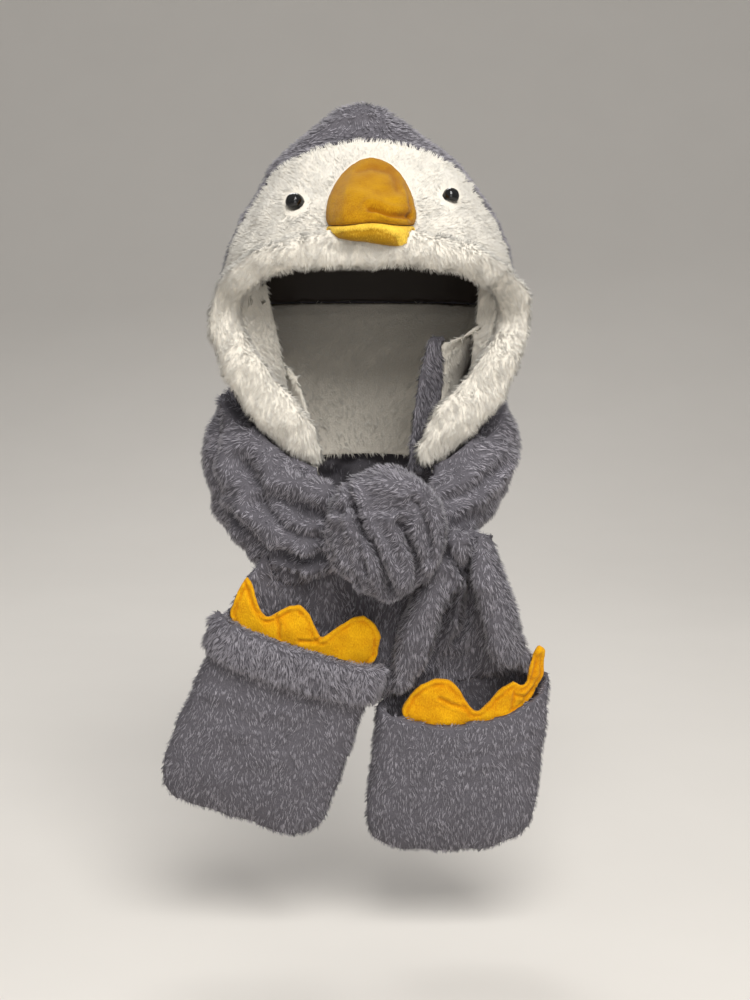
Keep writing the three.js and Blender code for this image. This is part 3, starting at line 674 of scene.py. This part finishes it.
def forward(spot, out):
    """1 on the outer face of the panel."""
    away = unit(spot - PANEL_MIDDLE)
    return np.where(np.sum(away * out, axis=1) > -0.1, 1.0, 0.0)


def face_keep(spot, out):
    """The outer face, save a ring round each eye."""
    clear = forward(spot, out)
    for middle, radius in EYES:
        away = np.linalg.norm(spot[:, [0, 2]] - middle, axis=1)
        clear = np.where(away < radius + EYE_CLEARANCE, 0.0, clear)
    return clear


panel = copy_of("panel_body", "face_panel")
soften(panel, 3.8, 3)
p, n = points_of(panel), normals_of(panel)
beside = walls_beside("face_panel")
press = -SINK * forward(p, n) + 1.2 * waves(p, 40, 5)
dress(panel, press, beside)
finish_body(panel, "face_panel", white_backing)
pile(panel, "panel_pile", beside, white_pile, locks(18000), face_nap, 6.2, 1.15, 60,
     keep=face_keep, clump=3.2, gather=0.3, wander=0.6, relief=0.15, seed=21)

# %% [markdown]
# The roll is stuffed, so its skin also swells and dips a little along its length. Its pile
# hangs down and a little outwards.

# %% Roll round the face

OPENING_MIDDLE = np.array([0, -100, -175])


def roll_nap(spot, out):
    """Down and forward, spreading from the middle of the opening."""
    away = unit(spot - OPENING_MIDDLE)
    return 0.25 * away + np.array([0, -0.25, -1.0])


roll = copy_of("roll_body", "face_rim")
soften(roll, 3.8, 4)
p, n = points_of(roll), normals_of(roll)
beside = walls_beside("face_rim")
press = -SINK - 0.4 + 2.0 * waves(p, 34, 6) + 0.9 * waves(p, 13, 7)
dress(roll, press, beside)
finish_body(roll, "face_rim", white_backing)
pile(roll, "roll_pile", beside, white_pile, locks(22000), roll_nap, 7.0, 1.15, 58,
     clump=3.4, wander=0.6, gather=0.35, relief=0.15, seed=31)

# %% [markdown]
# ## Inside the hood
# White plush turns in from the roll and hangs round the nape, and the crown has a smooth
# dark lining. The plush ones are thin, so their skins are barely sunk.

# %% Facings

HEAD_MIDDLE = np.array([0, 15, 0])
LEVEL = np.array([1, 1, 0])


def inward(spot, out):
    """1 where a wall looks at the head."""
    away = unit((spot - HEAD_MIDDLE) * LEVEL)
    return np.where(np.sum(away * out, axis=1) < 0.25, 1.0, 0.0)


for node, count, seed in (("facing_left", 3200, 41), ("facing_right", 2200, 42)):
    facing = copy_of(node + "_body", node)
    soften(facing, 2.6, 3)
    beside = walls_beside(node)
    dress(facing, np.full(len(facing.data.vertices), -0.8), beside)
    finish_body(facing, node, white_backing)
    pile(facing, node + "_pile", beside, white_pile, locks(count), steady(0, -0.3, -1),
         6.5, 1.35, 60, relief=0.45, seed=seed)

# %% [markdown]
# The nape hangs like a curtain behind the neck. Only the side that looks at the head and its
# front ends are seen, so only they grow a pile. Beside it a grey fold of the scarf stands up.

# %% Nape and inner fold

NAPE_FRONT = -25


def nape_keep(spot, out):
    """The wall that looks at the head, and both front ends."""
    return np.maximum(inward(spot, out), np.where(spot[:, 1] < NAPE_FRONT, 1.0, 0.0))


nape = copy_of("nape_body", "nape_lining")
soften(nape, 4.0, 3)
p, n = points_of(nape), normals_of(nape)
beside = walls_beside("nape_lining")
dress(nape, -0.8 * inward(p, n), beside)
finish_body(nape, "nape_lining", white_backing)
pile(nape, "nape_pile", beside, white_pile, locks(6500), steady(0, 0, -1), 7.2, 1.7, 60,
     keep=nape_keep, relief=0.45, seed=43)

inner = copy_of("fold_body", "inner_fold")
soften(inner, 2.8, 3)
beside = walls_beside("inner_fold")
dress(inner, np.full(len(inner.data.vertices), -1.2), beside)
finish_body(inner, "inner_fold", grey_backing)
pile(inner, "fold_pile", beside, grey_pile, locks(2600), steady(0, -0.2, -1), LONG, WIDE, 60,
     seed=44)

# %% [markdown]
# The lining is smooth cloth, so it keeps its solid's form. It is subdivided once and waved by
# half a millimetre, as cloth that hangs loose in a crown is.

# %% Lining

crown = copy_of("lining_body", "crown_lining")
subdivide = crown.modifiers.new("finer", "SUBSURF")
subdivide.levels = subdivide.render_levels = 1
apply_all(crown)
active(crown)
bpy.ops.object.shade_smooth()
p, n = points_of(crown), normals_of(crown)
move(crown, p + n * (0.5 * waves(p, 22, 9))[:, None])
finish_body(crown, "crown_lining", lining_cloth)

# %% [markdown]
# ## Collar and knot
# The scarf is wound round the neck, so the collar is a stack of soft rolls. On the viewer's
# left they run together towards the knot. Its upper edge is drawn up to the white roll first,
# because the real one is tucked under it. Folds are pressed in before the pile grows.

# %% Collar

COLLAR_FOLDS = [
    ([(-117, -296), (-101, -322), (-76, -330), (-53, -337), (-34, -337)], 12.0, 8.5),
    ([(-104, -331), (-91, -341), (-76, -351), (-63, -356), (-44, -359)], 11.0, 4.6),
    ([(-130, -344), (-113, -362), (-102, -372), (-89, -378), (-70, -381), (-42, -378)], 13.0, 5.0),
    ([(-102, -392), (-76, -397), (-54, -401), (-38, -404)], 9.0, 4.6),
    ([(-109, -248), (-101, -265), (-88, -278), (-77, -289), (-63, -298), (-44, -301)], 5.0, 5.0),
    ([(-149, -253), (-146, -276), (-150, -303), (-142, -340), (-132, -367)], 6.0, 5.0),
    ([(-24, -322), (-38, -353), (-43, -375), (-40, -395), (-12, -408)], 9.0, 7.0),
    ([(75, -322), (100, -318), (128, -300)], 6.0, 5.5),
]
COLLAR_ROLL = [(-93, -309), (-66, -313), (-44, -324), (-24, -329)]
DRAWN_FROM = 26.0

collar = copy_of("collar_body", "collar")
soften(collar, 4.4, 3)
p, n = points_of(collar), normals_of(collar)
way, away = nearest(p, walls_of({"face_rim"}), DRAWN_FROM)
drawn = np.clip((DRAWN_FROM - away) / 10, 0, 1) * np.clip(np.sum(way * n, axis=1) * 2.2, 0, 1)
drawn *= np.clip((-p[:, 1] - 70) / 20, 0, 1)
move(collar, p + way * (np.maximum(away - 2.0, 0) * drawn)[:, None])
p, n = points_of(collar), normals_of(collar)
beside = walls_beside("collar")
press = -SINK + 1.5 * waves(p, 30, 12)
for line, depth, wide in COLLAR_FOLDS:
    press += fold(p, n, line, depth, wide)
press += swell(p, n, COLLAR_ROLL, 5.0, 6.0)
dress(collar, press, beside, 8.0)
finish_body(collar, "collar", grey_backing)


def collar_nap(spot, out):
    """Down, and a little round the neck away from the knot."""
    round_neck = unit(np.stack([-spot[:, 1], spot[:, 0], np.zeros(len(spot))], 1))
    left = np.where(spot[:, 0] < 0, -1.0, 1.0)[:, None]
    return np.array([0, 0, -1.0]) + 0.35 * left * round_neck


def collar_keep(spot, out):
    """Nearly bald where it lies against the neck."""
    away = unit(spot * LEVEL)
    facing = np.sum(away * out, axis=1)
    return np.where(facing > -0.25, 1.0, 0.15)


pile(collar, "collar_pile", beside, grey_pile, locks(26500), collar_nap, LONG, WIDE, LEAN,
     keep=collar_keep, seed=51)

# %% [markdown]
# The knot is a bun of lobes, with deep valleys between them, and a band of cloth that wraps
# over it on the right. Its squares are smaller than the collar's, so that the valleys stay sharp.

# %% Knot

KNOT_FOLDS = [
    ([(-12, -319), (-8, -332), (-4, -345), (6, -359), (14, -381), (21, -402)], 14.0, 3.8),
    ([(-7, -335), (-9, -353), (-4, -366), (0, -380)], 7.0, 3.2),
    ([(28, -336), (35, -348), (44, -367), (47, -382), (44, -398)], 11.0, 3.8),
    ([(42, -313), (50, -330), (55, -348), (55, -370)], 7.0, 3.4),
    ([(-24, -328), (-16, -324), (-12, -317), (-18, -305)], 7.0, 3.6),
    ([(-30, -378), (-18, -385), (-10, -396)], 5.0, 3.2),
    ([(38, -316), (40, -328), (34, -340)], 4.0, 3.0),
    ([(6, -322), (24, -326), (34, -336)], 2.5, 3.4),
]

knot = copy_of("knot_body", "knot")
soften(knot, 2.8, 5)
p, n = points_of(knot), normals_of(knot)
beside = walls_beside("knot")
press = -2.0 + 1.0 * waves(p, 16, 15)
for line, depth, wide in KNOT_FOLDS:
    press += fold(p, n, line, depth, wide)
dress(knot, press, beside)
finish_body(knot, "knot", grey_backing)


def knot_nap(spot, out):
    """Across the knot at its top, and down towards its foot."""
    low = np.clip((-320 - spot[:, 2]) / 50, 0, 1)[:, None]
    return (1 - low) * np.array([-1, 0, -0.35]) + low * np.array([-0.45, 0, -1])


pile(knot, "knot_pile", beside, grey_pile, locks(10000), knot_nap, 6.6, WIDE, LEAN,
     seed=52)

# %% [markdown]
# ## Arms and pockets
# The arms are rolled strands of plush. The pockets are sacks of the same plush, a little
# dented, with a cuff turned down on the left one. They differ only in their numbers, so one
# loop makes all five from a table: voxel, locks, seed, and folds with their depth and width.

# %% Arm and pocket shapes

ARM_KINDS = [
    ("tail_left", 3.4, 4800, 61, []),
    ("tail_right", 3.2, 13000, 62, [
        ([(79, -384), (76, -411), (72, -427), (66, -456), (58, -486)], 8.0, 4.2),
        ([(73, -368), (85, -382), (98, -400), (98, -419), (92, -448), (83, -466)], 8.0, 4.2),
    ]),
    ("cuff_left", 3.0, 7000, 63, []),
    ("pocket_left", 4.3, 16000, 64, [([(-150, -520), (-120, -532), (-84, -536)], 3.0, 6.0)]),
    ("pocket_right", 4.3, 13500, 65, [([(88, -574), (105, -569), (157, -552)], 3.6, 4.0)]),
]
ARM_ROLLS = [
    ([(66, -384), (58, -412), (46, -442), (37, -470), (31, -502)], 13.0, 11.0),
    ([(82, -357), (101, -377), (115, -406), (121, -440), (123, -473), (122, -505)], 11.0, 13.0),
]
ARM_SHIFTS = [(18, -502, 10.0, 24), (54, -410, 7.0, 13)]
ARM_SHIFT_WIDTH = 12.0
LEFT_ARM_DROP = 22
POCKET_MIDDLES = {"pocket_left": (-62, -115, -458), "pocket_right": (92, -110, -507)}
MOUTH_DEPTH = 70


def close_slits(node, points):
    """The edges of the arms, moved a little to where they tuck behind the pockets."""
    x, z = points[:, 0], points[:, 2]
    if node == "tail_right":
        for middle, level, shift, tall in ARM_SHIFTS:
            x -= shift * np.exp(-(((x - middle) / ARM_SHIFT_WIDTH) ** 2) - ((z - level) / tall) ** 4)
    if node == "tail_left":
        low = np.clip((x - 7) / 6, 0, 1) * np.clip((-430 - z) / 20, 0, 1)
        z -= LEFT_ARM_DROP * low
    return points


def strand(points, normals):
    """A third strand inside the right arm, between its two rolled edges."""
    middle = 84 + 0.06 * (points[:, 2] + 418)
    rise = hump(points[:, 0] - middle, 9.0)
    rise *= np.clip((points[:, 2] + 470) / 22, 0, 1) * np.clip(-normals[:, 1] * 2, 0, 1)
    return 11.0 * rise * np.where(points[:, 1] > -116, 1.0, 0.0)


def pocket_keep(node):
    """Which roots stay on a pocket."""
    x, y, z = POCKET_MIDDLES[node]

    def keep(spot, out):
        """1 outside the sack, and a short way down inside its mouth."""
        shell = (spot[:, 0] - x) * out[:, 0] * 0.3 + (spot[:, 1] - y) * out[:, 1] > -2
        return np.where(shell | (spot[:, 2] > z - MOUTH_DEPTH), 1.0, 0.06)

    return keep


# %% [markdown]
# Each piece is softened, folded, dressed and given its pile. The locks of the pockets are
# shorter, and nearly all of them grow on the outside and just inside the mouth.

# %% Arms and pockets

for node, voxel, count, seed, folds in ARM_KINDS:
    arm = copy_of(node + "_body", node)
    soften(arm, voxel, 3)
    p, n = points_of(arm), normals_of(arm)
    if node in ("tail_left", "tail_right"):
        p = close_slits(node, p)
        move(arm, p)
    beside = walls_beside(node)
    press = -SINK + 1.4 * waves(p, 44, seed) + 0.6 * waves(p, 16, seed + 1)
    for line, depth, wide in folds:
        press += fold(p, n, line, depth, wide)
    if node == "tail_right":
        press += strand(p, n)
        for line, height, wide in ARM_ROLLS:
            press += swell(p, n, line, height, wide)
    dress(arm, press, beside)
    finish_body(arm, node, grey_backing)
    pile(arm, node + "_pile", beside, grey_pile, locks(count), steady(0, -0.15, -1),
         5.8 if node in POCKET_MIDDLES else LONG, WIDE, LEAN - 3, clump=3.2,
         keep=pocket_keep(node) if node in POCKET_MIDDLES else None, seed=seed + 100)

# %% [markdown]
# ## Beak
# The beak is two stuffed lobes of fleece with soft wrinkles near the corner of its mouth.
# Wrinkles are both pressed in and painted with shade, and ridges are painted a little lighter, so
# that they still show in soft light. The mouth between the lobes rises at its middle.

# %% Beak

BEAK_FOLDS = [
    ([(2, -59), (10, -61), (20, -65), (38, -66)], 4.2, 2.6),
    ([(35, -38), (38, -56), (39, -72)], 1.6, 1.8),
    ([(-8, -25), (3, -21), (17, -24), (23, -26), (28, -41)], 2.0, 4.0),
]
BEAK_RIDGES = [
    ([(-18, -43), (-4, -47), (10, -51), (30, -53)], 1.4, 5.0),
    ([(7, -64), (17, -69), (30, -72), (40, -74)], 1.8, 2.2),
]
LIP_EDGE = [(-33, -82), (-23, -80), (-16, -79), (-4, -80), (7, -79), (17, -80), (26, -85), (30, -93)]
MOUTH_ARCH = 3.2
MOUTH_MIDDLE = (4, -76)


def below(points, line):
    """1 under a broken line that runs from left to right, and 0 over it."""
    across, level = zip(*line)
    return np.clip((np.interp(points[:, 0], across, level) - points[:, 2]) / 2.0 + 0.5, 0, 1)


for node, material in (("beak_upper", beak_fleece), ("beak_lower", lip_fleece)):
    lobe = copy_of(node + "_body", node)
    soften(lobe, 2.2, 5)
    p, n = points_of(lobe), normals_of(lobe)
    press = 0.9 * waves(p, 26, 71)
    painted_shade = np.zeros(len(p))
    if node == "beak_upper":
        # Valleys get painted shade, and ridges a little painted light.
        for line, depth, wide in BEAK_FOLDS:
            valley = fold(p, n, line, depth, wide)
            press += valley
            painted_shade = np.maximum(painted_shade, np.clip(-valley / depth, 0, 1) * 0.2 * depth)
        for line, height, wide in BEAK_RIDGES:
            ridge = swell(p, n, line, height, wide)
            press += ridge
            painted_shade -= 0.12 * ridge
    else:
        # Below its edge the lip is pushed in and painted darker: painted shade on its underside.
        under = below(p, LIP_EDGE) * np.clip((30 - p[:, 0]) / 3, 0, 1) * np.clip((p[:, 0] + 36) / 5, 0, 1)
        painted_shade = 0.85 * under
        press += fold(p, n, LIP_EDGE, 1.6, 2.0) - 1.2 * under
    dress(lobe, press, walls_beside(node), 2.5)
    p = points_of(lobe)
    arch = hump(p[:, 0] - MOUTH_MIDDLE[0], 19.0) * hump(p[:, 2] - MOUTH_MIDDLE[1], 9.0)
    p[:, 2] += MOUTH_ARCH * arch
    move(lobe, p)
    finish_body(lobe, node, material, painted_shade=painted_shade)

# %% [markdown]
# ## Toes
# The toes are flat, sewn and turned, with a seam that shows just inside the edge. How far a
# point is from the edge gives the seam its place, and the cloth stands up a little outside it.

# %% Toes

HEM_INSET = 4.9
HEM_DEPTH = 1.5
ROLLED_EDGE_INSET = 2.4
ROLLED_EDGE_HEIGHT = 0.9
PLEAT_DEPTH = 1.5
TOE_FOLDS = {
    "toes_left": [
        [(-114, -402), (-110, -416), (-105, -429), (-97, -434)],
        [(-95, -433), (-86, -433), (-83, -444), (-83, -456)],
        [(-43, -455), (-50, -459), (-64, -458)],
    ],
    "toes_right": [
        [(67, -514), (79, -521), (93, -525)],
        [(138, -508), (138, -515), (136, -529)],
        [(139, -512), (149, -515), (157, -508)],
        [(158, -474), (157, -492)],
    ],
}


def edge_distance(points, normals):
    """How far each point of a flat piece is from its rounded edge."""
    edge = np.abs(normals[:, 1]) < 0.35
    tree = kdtree.KDTree(int(edge.sum()))
    for index, point in enumerate(points[edge]):
        tree.insert(point, index)
    tree.balance()
    return np.array([tree.find(point)[2] for point in points])


for node, lines in TOE_FOLDS.items():
    toe = copy_of(node + "_body", node)
    soften(toe, 1.7, 2)
    outline = toe.modifiers.new("outline", "SMOOTH")
    outline.use_y = False
    outline.factor = SMOOTHING
    outline.iterations = 20
    apply_all(toe)
    p, n = points_of(toe), normals_of(toe)
    away = edge_distance(p, n)
    hem = hump(away - HEM_INSET, 1.2) * np.clip(0.75 + 0.5 * waves(p, 15, 83), 0.2, 1)
    press = -HEM_DEPTH * hem + ROLLED_EDGE_HEIGHT * hump(away - ROLLED_EDGE_INSET, 1.7)
    press = press + 1.1 * waves(p, 18, 81)
    # The seam and the pleats are painted darker, as painted shade in their grooves, and the right toes get
    # a little painted shade all over, for the shadow of the arm above them.
    painted_shade = 0.5 * hem + (0.1 if node == "toes_right" else 0.0)
    for line in lines:
        valley = fold(p, n, line, PLEAT_DEPTH, 1.6)
        press += valley
        painted_shade = np.maximum(painted_shade, np.clip(-valley / PLEAT_DEPTH, 0, 1) * 0.5)
    press = np.maximum(press, -0.4 * wall_depth(p, n, corners_of(toe)))
    move(toe, p + n * press[:, None])
    finish_body(toe, node, toe_fleece, painted_shade=painted_shade)

# %% [markdown]
# ## Eyes
# Each eye is a domed button that is pressed into the pile. Its solid is a dome already, so
# two rounds of subdivision are enough to make its rim and its highlight smooth.

# %% Eyes

for node in ("eye_left", "eye_right"):
    eye = copy_of(node + "_dome", node)
    finer = eye.modifiers.new("finer", "SUBSURF")
    finer.levels = finer.render_levels = 2
    apply_all(eye)
    active(eye)
    bpy.ops.object.shade_smooth()
    finish_body(eye, node, button_gloss)

# %% [markdown]
# ## Floor, light and camera
# The hood is held up by its mount, so the plain floor lies below it, and curves up behind it
# as studio paper does. All of it is one bent sheet, so that no line shows between the two.

# %% Floor

FLOOR = -0.76
BEND = 2.6
BEND_FROM = 1.4
FLOOR_REACH = 30.0
PAPER_TOP = 9.0
curve = [(-FLOOR_REACH, FLOOR)]
for turn in np.radians(np.arange(0, 91, 3)):
    curve.append((BEND_FROM + BEND * math.sin(turn), FLOOR + BEND * (1 - math.cos(turn))))
curve.append((BEND_FROM + BEND, PAPER_TOP))
paper = bpy.data.meshes.new("floor")
paper.from_pydata(
    [(x, y, z) for y, z in curve for x in (-FLOOR_REACH, FLOOR_REACH)], [],
    [(2 * k, 2 * k + 1, 2 * k + 3, 2 * k + 2) for k in range(len(curve) - 1)])
paper.shade_smooth()
floor = bpy.data.objects.new("floor", paper)
bpy.context.scene.collection.objects.link(floor)
plain = Finish("pale_floor", Roughness=0.9)
speck = plain.noise(6.0, 2.0)
plain.feed("Base Color", plain.mix(speck, shade(218, 214, 208), shade(222, 218, 212)))
floor.data.materials.append(plain.material)
print("floor at:", FLOOR, "faces:", len(paper.polygons))

# %% [markdown]
# A large soft lamp from the upper right gives the main light. A weak one in front opens the
# shadows, one behind lights the edge of the crown, and a pale sky fills the rest.

# %% Light

world = bpy.context.scene.world or bpy.data.worlds.new("sky")
bpy.context.scene.world = world
world.use_nodes = True
sky = world.node_tree.nodes["Background"]
sky.inputs["Color"].default_value = (0.88, 0.87, 0.87, 1)
sky.inputs["Strength"].default_value = 0.36
bpy.context.scene.view_settings.view_transform = "Standard"


def lamp(name, place, target, size, power, colour):
    data = bpy.data.lights.new(name, "AREA")
    data.size = size
    data.energy = power
    data.color = colour
    made = bpy.data.objects.new(name, data)
    bpy.context.scene.collection.objects.link(made)
    made.location = place
    made.rotation_euler = (Vector(target) - Vector(place)).to_track_quat("-Z", "Y").to_euler()


LIT_POINT = (0.0, -0.1, -0.3)
lamp("key", (0.35, -1.65, 1.45), LIT_POINT, 1.5, 64, (1.0, 0.985, 0.96))
lamp("front", (0.2, -2.1, 0.0), LIT_POINT, 1.0, 4, (1.0, 0.99, 0.97))
lamp("rim", (-0.3, 1.5, 1.2), LIT_POINT, 1.0, 18, (1.0, 1.0, 1.0))

# %% [markdown]
# The camera looks a little down at the hood from the front. Its focal length is given as
# pixels of a picture 1000 pixels tall, and is turned into millimetres of sensor.

# %% Camera

TILT = math.radians(10)
AIM = Vector((0.0066, -0.1, -0.3295))
AWAY = 1.6
SENSOR = 36
FOCAL_PIXELS = 1702
PICTURE_PIXELS = 1000
lens = bpy.data.cameras.new("camera")
lens.sensor_width = SENSOR
lens.lens = FOCAL_PIXELS / PICTURE_PIXELS * SENSOR
camera = bpy.data.objects.new("camera", lens)
bpy.context.scene.collection.objects.link(camera)
camera.location = AIM + AWAY * Vector((0, -math.cos(TILT), math.sin(TILT)))
camera.rotation_euler = (AIM - camera.location).to_track_quat("-Z", "Y").to_euler()
bpy.context.scene.camera = camera
print("camera at:", tuple(camera.location))

# %% [markdown]
# At the end the view layer is brought up to date.

# %% Finish

bpy.context.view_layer.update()
